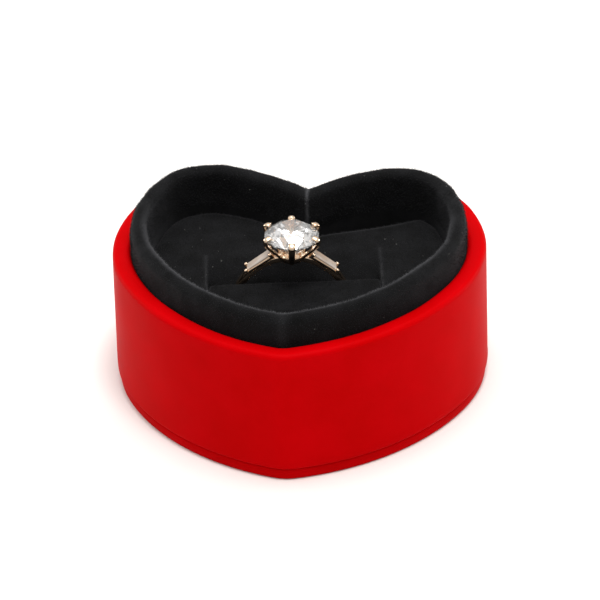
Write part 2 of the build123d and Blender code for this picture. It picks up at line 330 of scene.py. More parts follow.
def studio_paper():
    """White background paper, matt."""
    material, tree, shader = new_material(
        "studio_paper", {"Roughness": 0.9, "Specular IOR Level": 0.1}
    )
    tree.links.new(
        ramp(tree, noise(tree, 40.0), [(0.3, "#EAE7E3"), (0.7, "#EDEAE6")]),
        shader.inputs["Base Color"],
    )
    return material


red = soft_touch_covering()
velvet = velvet_backing()
fibre = pile_fibre()
lint = stray_lint()
gold = polished_gold()
zirconia = cut_zirconia("cut_zirconia", 0.9, ("#FFFAF4", "#FFFFFF"))
# the side stones' warm tint is a painted reflection of their gold setting
side_zirconia = cut_zirconia("side_zirconia", 0.5, ("#E9CDB4", "#FBEEE0"))  # painted gold reflection
greyboard = raw_greyboard()
foam = cut_foam()


# --- heart geometry -----------------------------------------------------------------------------
def heart_arcs(inset, cleft_radius):
    """Right half of the heart, moved inwards: centre x, centre y, radius, first and last angle."""
    side_x = heart_width / 2 - SIDE_RADIUS
    side_top, side_end = math.radians(SIDE_RISE), -math.radians(SIDE_FALL)
    lobe_end = math.radians(SIDE_RISE + LOBE_SWEEP)
    lobe_x = side_x + (SIDE_RADIUS - LOBE_RADIUS) * math.cos(side_top)
    lobe_y = (SIDE_RADIUS - LOBE_RADIUS) * math.sin(side_top)
    crown_x = lobe_x + (LOBE_RADIUS - CROWN_RADIUS) * math.cos(lobe_end)
    crown_y = lobe_y + (LOBE_RADIUS - CROWN_RADIUS) * math.sin(lobe_end)
    front_x = side_x + (SIDE_RADIUS - FRONT_RADIUS) * math.cos(side_end)
    front_y = (SIDE_RADIUS - FRONT_RADIUS) * math.sin(side_end)
    tip = max(TIP_RADIUS - inset, CREASE_RADIUS)
    tip_y = front_y - math.sqrt((FRONT_RADIUS - inset - tip) ** 2 - front_x**2)
    cleft_y = crown_y + math.sqrt((CROWN_RADIUS - inset + cleft_radius) ** 2 - crown_x**2)
    front_start = math.atan2(tip_y - front_y, -front_x)
    crown_end = math.atan2(cleft_y - crown_y, -crown_x)
    lowest = front_y - math.sqrt((FRONT_RADIUS - TIP_RADIUS) ** 2 - front_x**2) - TIP_RADIUS
    middle = (lobe_y + LOBE_RADIUS + lowest) / 2
    return [
        (0, tip_y - middle, tip, -math.pi / 2, front_start),
        (front_x, front_y - middle, FRONT_RADIUS - inset, front_start, side_end),
        (side_x, -middle, SIDE_RADIUS - inset, side_end, side_top),
        (lobe_x, lobe_y - middle, LOBE_RADIUS - inset, side_top, lobe_end),
        (crown_x, crown_y - middle, CROWN_RADIUS - inset, lobe_end, crown_end),
        (0, cleft_y - middle, cleft_radius, crown_end - math.pi, -math.pi / 2),
    ]


def heart_row(inset, height, cleft_radius=CLEFT_RADIUS):
    """Points of the heart, moved inwards by inset, at one height, all the way round."""
    half = []
    for steps, (x, y, radius, first, last) in zip(ARC_STEPS, heart_arcs(inset, cleft_radius)):
        angles = np.linspace(first, last, steps, endpoint=False)
        half.append(np.stack([x + radius * np.cos(angles), y + radius * np.sin(angles)], axis=1))
    x, y, radius, _, last = heart_arcs(inset, cleft_radius)[-1]
    end = [[x + radius * math.cos(last), y + radius * math.sin(last)]]
    right = np.concatenate(half + [end])
    left = right[-2:0:-1] * (-1, 1)
    outline = np.concatenate([right, left])
    return np.column_stack([outline, np.full(len(outline), height)])


def rim_profile(outer, inner, top, radius, inner_radius, steps=8):
    """(inset, height) points over a rim, from its outer face to its inner face."""
    turn = np.linspace(0, math.pi / 2, steps + 1)
    outside = [(outer + radius * (1 - math.cos(a)), top - radius * (1 - math.sin(a))) for a in turn]
    inside = [(inner - inner_radius * (1 - math.cos(a)), top - inner_radius * (1 - math.sin(a)))
              for a in turn[::-1]]
    return outside + inside


def straight(start, end, steps):
    """(inset, height) points along a straight part of a profile, without its last point."""
    return [tuple(np.add(start, np.subtract(end, start) * k / steps)) for k in range(steps)]


# --- mesh making --------------------------------------------------------------------------------
def new_piece(name, points, faces, material, smooth_angle=None):
    """A piece from points in millimetres, with its faces turned outwards."""
    mesh = bpy.data.meshes.new(name)
    mesh.from_pydata([tuple(p) for p in np.asarray(points) * MM], [], faces)
    work = bmesh.new()
    work.from_mesh(mesh)
    bmesh.ops.recalc_face_normals(work, faces=work.faces)
    work.to_mesh(mesh)
    work.free()
    mesh.materials.append(material)
    piece = bpy.data.objects.new(name, mesh)
    bpy.context.scene.collection.objects.link(piece)
    mesh.shade_smooth()
    if smooth_angle is not None:
        mesh.set_sharp_from_angle(angle=math.radians(smooth_angle))
    return piece


def skin(rows, closed):
    """Points and faces of rows of points joined into a skin. An open one is capped at both ends."""
    count, around = len(rows), len(rows[0])
    points = [tuple(p) for row in rows for p in row]
    faces = []
    for i in range(count if closed else count - 1):
        a, b = i * around, (i + 1) % count * around
        faces += [
            (a + j, a + (j + 1) % around, b + (j + 1) % around, b + j) for j in range(around)
        ]
    if not closed:
        faces += [tuple(range(around))[::-1], tuple((count - 1) * around + j for j in range(around))]
    return points, faces


def heart_band(name, profile, material, cleft_radius=CLEFT_RADIUS):
    """A closed profile of (inset, height) points carried round the heart."""
    rows = [heart_row(inset, height, cleft_radius) for inset, height in profile]
    return new_piece(name, *skin(rows, closed=True), material)


def finished(piece, body, slot, *nodes):
    """Puts the piece on its body and in place of its CAD nodes, which it hides. slot is not used."""
    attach(piece, body)
    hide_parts(*nodes)


def with_modifiers(piece, modifiers):
    """The piece's mesh with these modifiers applied to it."""
    for kind, settings in modifiers:
        added = piece.modifiers.new(kind, kind)
        for name, value in settings.items():
            setattr(added, name, value)
    depsgraph = bpy.context.evaluated_depsgraph_get()
    depsgraph.update()
    mesh = bpy.data.meshes.new_from_object(piece.evaluated_get(depsgraph), depsgraph=depsgraph)
    piece.modifiers.clear()
    old = piece.data
    piece.data = mesh
    bpy.data.meshes.remove(old)
    return piece


def waviness(points, size_mm, seed):
    """A smooth random value between about -1 and 1 at each point, from a few sine waves."""
    draw = np.random.default_rng(seed)
    total = np.zeros(len(points))
    waves = 9
    for _ in range(waves):
        direction = draw.normal(size=3)
        direction /= np.linalg.norm(direction)
        length = size_mm * draw.uniform(0.6, 1.8)
        total += np.sin(points @ direction * 2 * math.pi / length + draw.uniform(0, 2 * math.pi))
    return total / math.sqrt(waves)


def ripple(piece, depth_mm, size_mm, seed, keep=None):
    """Moves points along their normals by a smooth random amount. keep weighs each point."""
    mesh = piece.data
    count = len(mesh.vertices)
    points, normals = np.empty(count * 3), np.empty(count * 3)
    mesh.vertices.foreach_get("co", points)
    mesh.vertex_normals.foreach_get("vector", normals)
    points, normals = points.reshape(-1, 3) / MM, normals.reshape(-1, 3)
    amount = depth_mm * waviness(points, size_mm, seed)
    if keep is not None:
        amount = amount * keep(points)
    points += normals * amount[:, None]
    mesh.vertices.foreach_set("co", (points * MM).ravel())
    mesh.update()


def vertex_places(piece):
    """The piece's points, in millimetres."""
    places = np.empty(len(piece.data.vertices) * 3)
    piece.data.vertices.foreach_get("co", places)
    return places.reshape(-1, 3) / MM


def shift_cleft(piece):
    """Moves the fold at the cleft to one side above the wall, as a hand-wrapped collar has it."""
    places = vertex_places(piece)
    x, y, z = places.T
    near = np.exp(-((x / 7) ** 4)) * np.clip((y - 4) / 6, 0, 1)
    places[:, 0] += CLEFT_SHIFT * near * np.clip((z - wall_top + 2) / 2, 0, 1)
    piece.data.vertices.foreach_set("co", (places * MM).ravel())


def pile_highlight_paint(piece, weight, crease=False):
    """Stores a painted highlight's weight on the velvet at each point: 0 in the flat, 1 over a sharp edge.
    crease adds painted highlight lines along the collar's folds at the cleft and at the front tip."""
    mesh = piece.data
    if crease:
        x, y, z = vertex_places(piece).T
        fold = np.exp(-(((x - CLEFT_SHIFT) / 0.3) ** 2)) * (y > 0) * (z > pad_top)
        # the painted line along the rim is stronger at the front of the box and fades towards the back
        weight = np.maximum(weight * np.clip(0.65 - y / 20, 0.05, 1.0), fold)
        weight = np.maximum(weight, 0.12 * np.exp(-((x / 0.8) ** 2)) * (y < 0))
    noted = mesh.attributes.new("pile_highlight_paint", "FLOAT", "POINT")
    noted.data.foreach_set("value", np.asarray(weight, dtype=np.float32))


# --- box: bottom, wall and collar ---------------------------------------------------------------
def cover_bottom():
    """Red covering round the bottom board: the whole underside, the edge and a turned-in strip."""
    edge, turn_in = BASE_INSET, BASE_INSET + BASE_TURN_IN
    soft = 0.45
    corner = [(soft * (1 - math.sin(a)), soft * (1 - math.cos(a)))
              for a in np.linspace(0, math.pi / 2, 5)]
    low_edge = [(edge + x, z) for x, z in corner]
    high_edge = [(edge + x, base_top - z) for x, z in corner[::-1]]
    inner = [(turn_in, base_top), (turn_in, base_top - WRAP), (edge + WRAP, base_top - WRAP),
             (edge + WRAP, WRAP)]
    rows = [heart_row(0, 0) * (k, k, 1) for k in (0.3, 0.6, 0.85)]
    rows += [heart_row(x, z) for x, z in low_edge + high_edge + inner]
    rows += [heart_row(edge + WRAP, WRAP) * (k, k, 1) for k in (0.85, 0.6, 0.3)]
    piece = new_piece("bottom_covering_red", *skin(rows, closed=False), red, 40)
    finished(piece, "box", "red_covering", "bottom_covering")


def cover_wall():
    """Red covering over the wall board: outside, over the rim and down the inside."""
    outer, inner = 0.0, WALL_INSIDE
    turn_in = wall_top - WALL_TURN_IN
    rim = rim_profile(outer, inner, wall_top, WALL_RIM, WALL_RIM)
    thin = WALL_RIM - WRAP
    under = rim_profile(outer + WRAP, inner - WRAP, wall_top - WRAP, thin, thin)
    fold = 0.5  # the covering turns under the wall's lower edge
    profile = [(outer + fold * (1 - math.sin(a)), base_top + 0.02 + fold * (1 - math.cos(a)))
               for a in np.linspace(0, math.pi / 2, 6)]
    profile += straight(profile.pop(), rim[0], 24) + rim
    profile += [(inner, turn_in), (inner - WRAP, turn_in)] + under[::-1]
    profile += [(outer + WRAP, base_top + fold), (outer + fold, base_top + WRAP),
                (inner, base_top + WRAP), (inner, base_top + 0.02)]
    piece = heart_band("wall_covering_red", profile, red)
    piece.data.set_sharp_from_angle(angle=math.radians(40))
    ripple(piece, 0.03, 14.0, seed=3, keep=lambda p: p[:, 2] > base_top + 1)
    finished(piece, "box", "red_covering", "wall_covering")


def cover_collar():
    """Black velvet over the collar board, outside and inside, and its pile."""
    outer, inner = COLLAR_OUTSIDE, COLLAR_INSIDE
    turn_out = collar_top - COLLAR_TURN_OUT
    thin = COLLAR_RIM - VELVET
    rim = rim_profile(outer, inner, collar_top, COLLAR_OUTER_RIM, COLLAR_RIM, 12)
    under = rim_profile(outer + VELVET, inner - VELVET, collar_top - VELVET, thin, thin)
    profile = straight((outer, turn_out), (outer, wall_top - 1.5), 16)
    profile += straight((outer, wall_top - 1.5), rim[0], 14) + rim[:-1]
    profile += straight(rim[-1], (inner, base_top), 40) + [(inner, base_top)]
    face_rows = len(profile)
    profile += [(inner - VELVET, base_top)] + under[::-1] + [(outer + VELVET, turn_out)]
    piece = heart_band("collar_black_velvet", profile, velvet, cleft_radius=0.9)
    shift_cleft(piece)
    shown = wall_top - 0.5
    ripple(piece, 0.07, 6.0, seed=5, keep=lambda p: np.clip(p[:, 2] - shown, 0, 1))
    turn_row = profile.index(rim[19])  # where the rim turns down inside
    # a painted highlight line along the inner edge of the rim, fading out over seven rows each way
    rim_highlight_weight = np.clip(1 - np.abs(np.arange(len(profile)) - turn_row) / 7, 0, 1)
    around = len(piece.data.vertices) // len(profile)
    pile_highlight_paint(piece, np.repeat(rim_highlight_weight, around), crease=True)
    glued = piece.data.attributes.new("glued", "FLOAT", "POINT")  # 1 on the back of the velvet
    on_board = (np.arange(len(profile)) >= face_rows).astype(np.float32)
    glued.data.foreach_set("value", np.repeat(on_board, around))
    finished(piece, "box", "black_velvet", "collar_velvet")
    pile = grow_pile(piece, "collar_pile", 16.5, lowest=wall_top - 1.5, seed=11)
    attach(pile, "box")
    shed = grow_pile(
        piece, "collar_lint", 0.02, wall_top, seed=21, length_mm=0.25, lean=1.4, material=lint
    )
    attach(shed, "box")


# --- velvet pile --------------------------------------------------------------------------------
def pile_tree():
    """Geometry nodes that scatter short leaning fibres over a surface."""
    tree = bpy.data.node_groups.new("velvet_pile", "GeometryNodeTree")
    face = tree.interface
    face.new_socket("Geometry", in_out="INPUT", socket_type="NodeSocketGeometry")
    for name in ("Fibres per square metre", "Fibre length", "Fibre width", "Lean", "Lowest"):
        face.new_socket(name, in_out="INPUT", socket_type="NodeSocketFloat")
    face.new_socket("Seed", in_out="INPUT", socket_type="NodeSocketInt")
    face.new_socket("Fibre material", in_out="INPUT", socket_type="NodeSocketMaterial")
    face.new_socket("Geometry", in_out="OUTPUT", socket_type="NodeSocketGeometry")
    given = add_node(tree, "NodeGroupInput").outputs
    place = add_node(tree, "GeometryNodeInputPosition").outputs["Position"]
    height = add_node(tree, "ShaderNodeSeparateXYZ", {"Vector": place}).outputs["Z"]
    glued = add_node(
        tree, "GeometryNodeInputNamedAttribute", {"Name": "glued"}, data_type="FLOAT"
    ).outputs["Attribute"]
    # a glued face would have to be a metre higher to grow pile
    lowest = add_node(
        tree, "ShaderNodeMath", {0: given["Lowest"], 1: glued}, operation="ADD"
    ).outputs["Value"]
    above = add_node(
        tree, "FunctionNodeCompare", {"A": height, "B": lowest},
        data_type="FLOAT", operation="GREATER_THAN",
    ).outputs["Result"]
    points = add_node(
        tree, "GeometryNodeDistributePointsOnFaces",
        {"Mesh": given["Geometry"], "Selection": above,
         "Density": given["Fibres per square metre"], "Seed": given["Seed"]},
    ).outputs
    half_width = add_node(
        tree, "ShaderNodeMath", {0: given["Fibre width"], 1: 0.5}, operation="MULTIPLY"
    ).outputs["Value"]
    blade = add_node(
        tree, "GeometryNodeMeshCone",
        {"Vertices": 3, "Side Segments": 1, "Fill Segments": 1, "Radius Top": 0.0,
         "Radius Bottom": half_width, "Depth": given["Fibre length"]},
        fill_type="NGON",
    ).outputs["Mesh"]
    back = add_node(
        tree, "ShaderNodeMath", {0: given["Lean"], 1: -1.0}, operation="MULTIPLY"
    ).outputs["Value"]
    lowest_lean = add_node(tree, "ShaderNodeCombineXYZ", {"X": back, "Y": back, "Z": 0.0})
    highest_lean = add_node(
        tree, "ShaderNodeCombineXYZ", {"X": given["Lean"], "Y": given["Lean"], "Z": math.tau}
    )
    lean = add_node(
        tree, "FunctionNodeRandomValue",
        {"Min": lowest_lean.outputs["Vector"], "Max": highest_lean.outputs["Vector"],
         "Seed": given["Seed"]},
        data_type="FLOAT_VECTOR",
    ).outputs["Value"]
    turn = add_node(
        tree, "FunctionNodeRotateRotation",
        {"Rotation": points["Rotation"],
         "Rotate By": add_node(tree, "FunctionNodeEulerToRotation", {"Euler": lean}).outputs[0]},
        rotation_space="LOCAL",
    ).outputs["Rotation"]
    scale = add_node(
        tree, "FunctionNodeRandomValue", {2: 0.6, 3: 1.25, "Seed": given["Seed"]}, data_type="FLOAT"
    ).outputs[1]
    planted = add_node(
        tree, "GeometryNodeInstanceOnPoints",
        {"Points": points["Points"], "Instance": blade, "Rotation": turn, "Scale": scale},
    ).outputs["Instances"]
    real = add_node(tree, "GeometryNodeRealizeInstances", {"Geometry": planted}).outputs["Geometry"]
    coloured = add_node(
        tree, "GeometryNodeSetMaterial", {"Geometry": real, "Material": given["Fibre material"]}
    ).outputs["Geometry"]
    add_node(tree, "NodeGroupOutput", {"Geometry": coloured})
    return tree


def grow_pile(base, name, per_mm2, lowest, seed, length_mm=0.32, lean=0.6, material=fibre):
    """Fibres standing on a piece, above a height in millimetres, as a mesh of their own."""
    carrier = bpy.data.objects.new(name, base.data.copy())
    bpy.context.scene.collection.objects.link(carrier)
    growing = carrier.modifiers.new("pile", "NODES")
    growing.node_group = velvet_pile
    values = {
        "Fibres per square metre": per_mm2 / MM**2, "Fibre length": length_mm * MM,
        "Fibre width": 0.06 * MM, "Lean": lean, "Lowest": lowest * MM, "Seed": seed,
        "Fibre material": material,
    }
    for item in velvet_pile.interface.items_tree:
        if item.in_out == "INPUT" and item.name in values:
            growing[item.identifier] = values[item.name]
    depsgraph = bpy.context.evaluated_depsgraph_get()
    depsgraph.update()
    mesh = bpy.data.meshes.new_from_object(carrier.evaluated_get(depsgraph), depsgraph=depsgraph)
    mesh.name = name
    carrier.modifiers.clear()
    old = carrier.data
    carrier.data = mesh
    bpy.data.meshes.remove(old)
    return carrier


# --- pad and flap -------------------------------------------------------------------------------
def slot_room(grow):
    """Room cut in the pad: the slot, the rolled lip behind it and the well under the flap."""
    slot_edge = HALF_SLOT + grow
    ceiling = pad_top + 1
    reach = FLAP_REACH + FLAP_CLEARANCE + RIPPLE_ROOM
    well_front = -HALF_SLOT - reach - grow
    give = math.radians(hinge["range_deg"][1])
    well_bottom = flap_bottom - FLAP_REACH * math.sin(give) - WELL_ROOM - grow
    lip_radius = (LIP_RUN**2 + LIP_DEPTH**2) / (2 * LIP_DEPTH)
    lip_end, lip_centre = HALF_SLOT + LIP_RUN, pad_top - lip_radius
    rolled = lip_radius - grow
    start = math.acos((slot_edge - lip_end) / rolled)
    lip = [(lip_end + rolled * math.cos(a), lip_centre + rolled * math.sin(a))
           for a in np.linspace(start, math.pi / 2, 24)]
    section = [(slot_edge, slot_bottom - grow)] + lip + [
        (lip_end, ceiling), (well_front, ceiling), (well_front, well_bottom),
        (-slot_edge, well_bottom), (-slot_edge, slot_bottom - grow)]
    ends = [-SLOT_HALF_LENGTH - grow, SLOT_HALF_LENGTH + grow]
    rows = [np.array([slot_matrix @ Vector((x, y, z)) for y, z in section]) for x in ends]
    return skin(rows, closed=False)


def pad_block(name, inset, bottom, top, rim, grow, voxel, material):
    """A block of the pad with the slot cut in it, its edges softened like cloth over foam."""
    profile = straight((inset, bottom), (inset, top - rim), 20)
    turn = np.linspace(0, math.pi / 2, 8)
    profile += [(inset + rim * (1 - math.cos(a)), top - rim * (1 - math.sin(a))) for a in turn]
    rows = [heart_row(x, z) for x, z in profile]
    block = new_piece(name, *skin(rows, closed=False), material)
    cutter = new_piece(name + "_room", *slot_room(grow), material)
    with_modifiers(block, [("BOOLEAN", {"object": cutter, "solver": "EXACT"})])
    block.data.transform(Matrix.Scale(1 / MM, 4))
    with_modifiers(block, [
        ("REMESH", {"mode": "VOXEL", "voxel_size": voxel}),
        ("SMOOTH", {"factor": 0.5, "iterations": 5}),
    ])
    block.data.transform(Matrix.Scale(MM, 4))
    block.data.shade_smooth()
    bpy.data.objects.remove(cutter)
    block.data.materials.clear()
    block.data.materials.append(material)
    return block


def settle_pad(block):
    """Sinks the pad at the back right, where it isn't glued out to the collar. Returns how near
    each point is to that fold, from 0 to 1."""
    places = vertex_places(block)
    x, y, z = places.T
    (start_x, start_y), (end_x, end_y) = PAD_FOLD
    length = math.hypot(end_x - start_x, end_y - start_y)
    share = ((x - start_x) * (end_x - start_x) + (y - start_y) * (end_y - start_y)) / length**2
    behind = ((y - start_y) * (end_x - start_x) - (x - start_x) * (end_y - start_y)) / length
    there = np.clip((share + 0.2) / 0.2, 0, 1) * np.clip((1.5 - share) / 0.5, 0, 1) * (y > 8)
    there = there * np.clip((z - pad_top + 4) / 3, 0, 1)
    places[:, 2] -= PAD_SINK * np.clip(behind / PAD_SINK_RUN, 0, 1) ** 1.5 * there
    block.data.vertices.foreach_set("co", (places * MM).ravel())
    return there * np.exp(-((behind / 0.35) ** 2))


def paint_pad_highlight(cover, fold):
    """Paints a paler highlight on the pad's velvet over its fold and over the side edges of the slot."""
    x, y, z = vertex_places(cover).T
    turned = math.cos(slot_turn), math.sin(slot_turn)
    along = (x - SLOT_X) * turned[0] + (y - SLOT_Y) * turned[1]
    across = (y - SLOT_Y) * turned[0] - (x - SLOT_X) * turned[1]
    beside = (np.abs(across + 1) < 9) * (z > pad_top - 2)  # along the slot, its lip and the flap
    side = 0.25 * beside * np.exp(-(((np.abs(along) - SLOT_HALF_LENGTH) / 0.25) ** 2))
    pile_highlight_paint(cover, np.maximum(0.25 * fold, side))


def make_pad():
    """The foam block and the velvet that covers it and lines its slot."""
    core = pad_block(
        "pad_foam_block", PAD_OUTSIDE + VELVET, foam_bottom, pad_top - VELVET, PAD_RIM - VELVET,
        VELVET, 0.6, foam,
    )
    settle_pad(core)
    finished(core, "pad", "pad_foam", "pad_foam")
    cover = pad_block(
        "pad_black_velvet", PAD_OUTSIDE, foam_bottom, pad_top, PAD_RIM, 0.0, 0.32, velvet
    )
    ripple(cover, 0.12, 9.0, seed=8, keep=lambda p: np.clip(p[:, 2] - pad_top + 5, 0, 1))
    paint_pad_highlight(cover, settle_pad(cover))
    finished(cover, "pad", "black_velvet", "pad_velvet")
    pile = grow_pile(cover, "pad_pile", 15.0, lowest=pad_top - 4, seed=12)
    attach(pile, "pad")
    shed = grow_pile(
        cover, "pad_lint", 0.05, pad_top - 1.5, seed=22, length_mm=0.25, lean=1.4, material=lint
    )
    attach(shed, "pad")


def make_flap():
    """The velvet-covered flap in front of the slot."""
    half_length = SLOT_HALF_LENGTH - FLAP_CLEARANCE
    size = Vector((2 * half_length, FLAP_REACH, flap_top - flap_bottom))
    middle = Vector((0, -HALF_SLOT - FLAP_REACH / 2, (flap_top + flap_bottom) / 2))
    work = bmesh.new()
    bmesh.ops.create_cube(work, size=1.0)
    work.transform(Matrix.Diagonal((*size, 1)))
    bmesh.ops.bevel(
        work, geom=work.edges[:], offset=0.6, segments=4, profile=0.5, affect="EDGES"
    )
    work.transform(slot_matrix @ Matrix.Translation(middle))
    mesh = bpy.data.meshes.new("flap_black_velvet")
    work.to_mesh(mesh)
    work.free()
    mesh.materials.append(velvet)
    flap = bpy.data.objects.new("flap_black_velvet", mesh)
    bpy.context.scene.collection.objects.link(flap)
    with_modifiers(flap, [
        ("REMESH", {"mode": "VOXEL", "voxel_size": 0.22}),
        ("SMOOTH", {"factor": 0.5, "iterations": 4}),
    ])
    puff = 0.45  # the velvet is gathered up along the slot
    away = slot_matrix.inverted()
    for vertex in flap.data.vertices:
        back = (away @ vertex.co).y + HALF_SLOT + FLAP_REACH
        vertex.co.z += puff * max(0, back / FLAP_REACH) ** 2 * (vertex.co.z > middle.z)
    flap.data.transform(Matrix.Scale(MM, 4))
    flap.data.shade_smooth()
    flap.data.materials.clear()
    flap.data.materials.append(velvet)
    ripple(flap, 0.08, 7.0, seed=9)
    finished(flap, "flap", "black_velvet", "flap_velvet")
    pile = grow_pile(flap, "flap_pile", 15.0, lowest=flap_bottom, seed=13)
    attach(pile, "flap")


# --- ring ---------------------------------------------------------------------------------------
def placed(points, matrix):
    """Points moved by a matrix."""
    return [matrix @ Vector(p) for p in points]


def bend_band():
    """The band, sweeping from one side of the head round to the other, flat under each setting."""
    tilt, seat_end = math.radians(SIDE_TILT), 13.0  # degrees past the middle of a seat
    seat = (BAND_RADIUS - SIDE_SEAT) * math.cos(tilt)
    start = math.radians(11)
    rows = []
    for angle in np.linspace(start, 2 * math.pi - start, 220):
        past_seat = min(angle, 2 * math.pi - angle) - math.radians(SIDE_ANGLE)
        flat = seat / max(math.cos(past_seat - tilt), 0.1)
        rising = max(0, math.degrees(past_seat) - seat_end) / 2.5
        outer = BAND_RADIUS - max(0, BAND_RADIUS - flat) * max(0, 1 - rising)
        inner = BAND_RADIUS - BAND_THICKNESS
        middle, deep = (outer + inner) / 2, (outer - inner) / 2
        outwards = Vector((math.sin(angle), 0, math.cos(angle)))
        row = []
        for turn in np.linspace(0, 2 * math.pi, 24, endpoint=False):
            round_off = 2 / 3.2  # between a circle, 1, and a square, 0
            across = math.copysign(abs(math.cos(turn)) ** round_off, math.cos(turn))
            out = math.copysign(abs(math.sin(turn)) ** round_off, math.sin(turn))
            row.append(outwards * (middle + deep * out) + Vector((0, BAND_WIDTH / 2 * across, 0)))
        rows.append(placed(row, ring_matrix))
    piece = new_piece("ring_band_gold", *skin(rows, closed=False), gold, 60)
    finished(piece, "ring", "rose_gold", "ring_band")


def tube(path, widths, heights, sideways, around=14):
    """Rows of points round a path in one plane, with rounded ends. sideways is its normal."""
    rows = []
    for k, point in enumerate(path):
        before, after = path[max(k - 1, 0)], path[min(k + 1, len(path) - 1)]
        ahead = (after - before).normalized()
        up = ahead.cross(sideways).normalized()
        rows.append([
            point + sideways * (widths[k] / 2 * math.cos(t)) + up * (heights[k] / 2 * math.sin(t))
            for t in np.linspace(0, 2 * math.pi, around, endpoint=False)
        ])
    return rows


def smooth_path(corners, steps):
    """Points along a smooth curve near the corners, starting and ending on the end ones."""
    points = [Vector(c) for c in corners]
    for _ in range(steps):
        cut = [points[0]]
        for a, b in zip(points, points[1:]):
            cut += [a.lerp(b, 0.25), a.lerp(b, 0.75)]
        points = cut + [points[-1]]
    return points


def join_skins(skins):
    """Several skins' points and faces as one."""
    points, faces = [], []
    for some_points, some_faces in skins:
        start = len(points)
        points += list(some_points)
        faces += [tuple(start + v for v in face) for face in some_faces]
    return points, faces


def raise_head():
    """The head: a small cup with six claws that spread to the girdle and close over the stone."""
    girdle_top = GIRDLE_HEIGHT + GIRDLE_THICKNESS / 2
    slope = CROWN_HEIGHT / (STONE_RADIUS - TABLE_RADIUS)
    skins = []
    cup = [(0.05, FOOT_HEIGHT), (1.3, FOOT_HEIGHT), (1.6, FOOT_HEIGHT + 0.15),
           (1.9, FOOT_HEIGHT + 0.95), (1.85, FOOT_HEIGHT + 1.1), (1.5, FOOT_HEIGHT + 1.1),
           (1.25, FOOT_HEIGHT + 0.6), (0.05, FOOT_HEIGHT + 0.5)]
    rows = [[ring_matrix @ Vector((r * math.cos(t), r * math.sin(t), z))
             for t in np.linspace(0, 2 * math.pi, 40, endpoint=False)] for r, z in cup]
    skins.append(skin(rows, closed=False))
    claw_middle = STONE_RADIUS + 0.35
    for k in range(CLAW_COUNT):
        turned = ring_matrix @ Matrix.Rotation(2 * math.pi * k / CLAW_COUNT, 4, "Z")
        corners = [
            (0, FOOT_RADIUS, FOOT_HEIGHT + 0.1), (0, 2.55, FOOT_HEIGHT + 1.7),
            (0, claw_middle - 0.55, GIRDLE_HEIGHT - 1.15),
            (0, claw_middle + 0.12, GIRDLE_HEIGHT - 0.2),
            (0, claw_middle + 0.08, girdle_top + 0.45), (0, claw_middle - 0.35, girdle_top + 0.66),
            (0, STONE_RADIUS - 0.5, girdle_top + 0.5 * slope + 0.3),
        ]
        path = smooth_path(corners, 2)
        share = np.linspace(0, 1, len(path))
        widths = np.interp(share, [0, 0.55, 0.85, 0.93, 0.975, 1], [1.05, 1.06, 1.2, 1.16, 0.9, 0.3])
        heights = np.interp(share, [0, 0.5, 0.72, 0.93, 0.975, 1], [0.7, 0.62, 0.58, 0.62, 0.48, 0.1])
        rows = [placed(row, turned) for row in tube(path, widths, heights, Vector((1, 0, 0)))]
        skins.append(skin(rows, closed=False))
    piece = new_piece("ring_head_gold", *join_skins(skins), gold, 50)
    finished(piece, "ring", "rose_gold", "ring_head")


def convex_piece(name, points, material):
    """A cut stone: the flat-faced convex shape round these points."""
    work = bmesh.new()
    for point in points:
        work.verts.new(Vector(point) * MM)
    bmesh.ops.convex_hull(work, input=work.verts)
    bmesh.ops.dissolve_limit(
        work, angle_limit=math.radians(0.6), verts=work.verts, edges=work.edges
    )
    bmesh.ops.recalc_face_normals(work, faces=work.faces)
    mesh = bpy.data.meshes.new(name)
    work.to_mesh(mesh)
    work.free()
    mesh.materials.append(material)
    piece = bpy.data.objects.new(name, mesh)
    bpy.context.scene.collection.objects.link(piece)
    return piece


def cut_brilliant():
    """The centre stone as a round brilliant: table, stars, bezels, girdle, halves and mains."""
    top = GIRDLE_HEIGHT + GIRDLE_THICKNESS / 2
    bottom = GIRDLE_HEIGHT - GIRDLE_THICKNESS / 2
    crown, pavilion = CROWN_HEIGHT / (STONE_RADIUS - TABLE_RADIUS), PAVILION_DEPTH / STONE_RADIUS
    star_radius = (TABLE_RADIUS + STONE_RADIUS) / 2 - 0.05
    half_radius = 0.22 * STONE_RADIUS
    eighth = math.pi / 8
    points = [(0, 0, bottom - PAVILION_DEPTH)]
    for k in range(8):
        main, between = 2 * k * eighth, (2 * k + 1) * eighth
        reach = STONE_RADIUS - star_radius * math.cos(eighth)
        depth = STONE_RADIUS - half_radius * math.cos(eighth)
        points += [
            (TABLE_RADIUS * math.cos(main), TABLE_RADIUS * math.sin(main), top + CROWN_HEIGHT),
            (star_radius * math.cos(between), star_radius * math.sin(between), top + crown * reach),
            (half_radius * math.cos(between), half_radius * math.sin(between), bottom - pavilion * depth),
        ]
        for angle in (main, between):
            x, y = STONE_RADIUS * math.cos(angle), STONE_RADIUS * math.sin(angle)
            points += [(x, y, top), (x, y, bottom)]
    turned = ring_matrix @ Matrix.Rotation(math.radians(9), 4, "Z")
    piece = convex_piece("centre_stone_brilliant", placed(points, turned), zirconia)
    finished(piece, "ring", "clear_stone", "centre_stone")


def side_matrix(side):
    """Seat of a side stone, its wide end towards the head. side is -1 on the left, 1 on the right."""
    lean = Matrix.Rotation(side * math.radians(SIDE_ANGLE), 4, "Y")
    lift = Matrix.Translation((0, 0, BAND_RADIUS - SIDE_SEAT))
    tilt = Matrix.Rotation(side * math.radians(SIDE_TILT), 4, "Y")
    turn = Matrix.Rotation(math.pi if side > 0 else 0, 4, "Z")
    return ring_matrix @ lean @ lift @ tilt @ turn


def taper(grow, height):
    """Four corners of a side stone's outline, moved outwards by grow, at a height."""
    half = SIDE_LENGTH / 2 + grow
    wide, narrow = SIDE_WIDE / 2 + grow, SIDE_NARROW / 2 + grow
    return [(half, -wide, height), (half, wide, height), (-half, narrow, height), (-half, -narrow, height)]


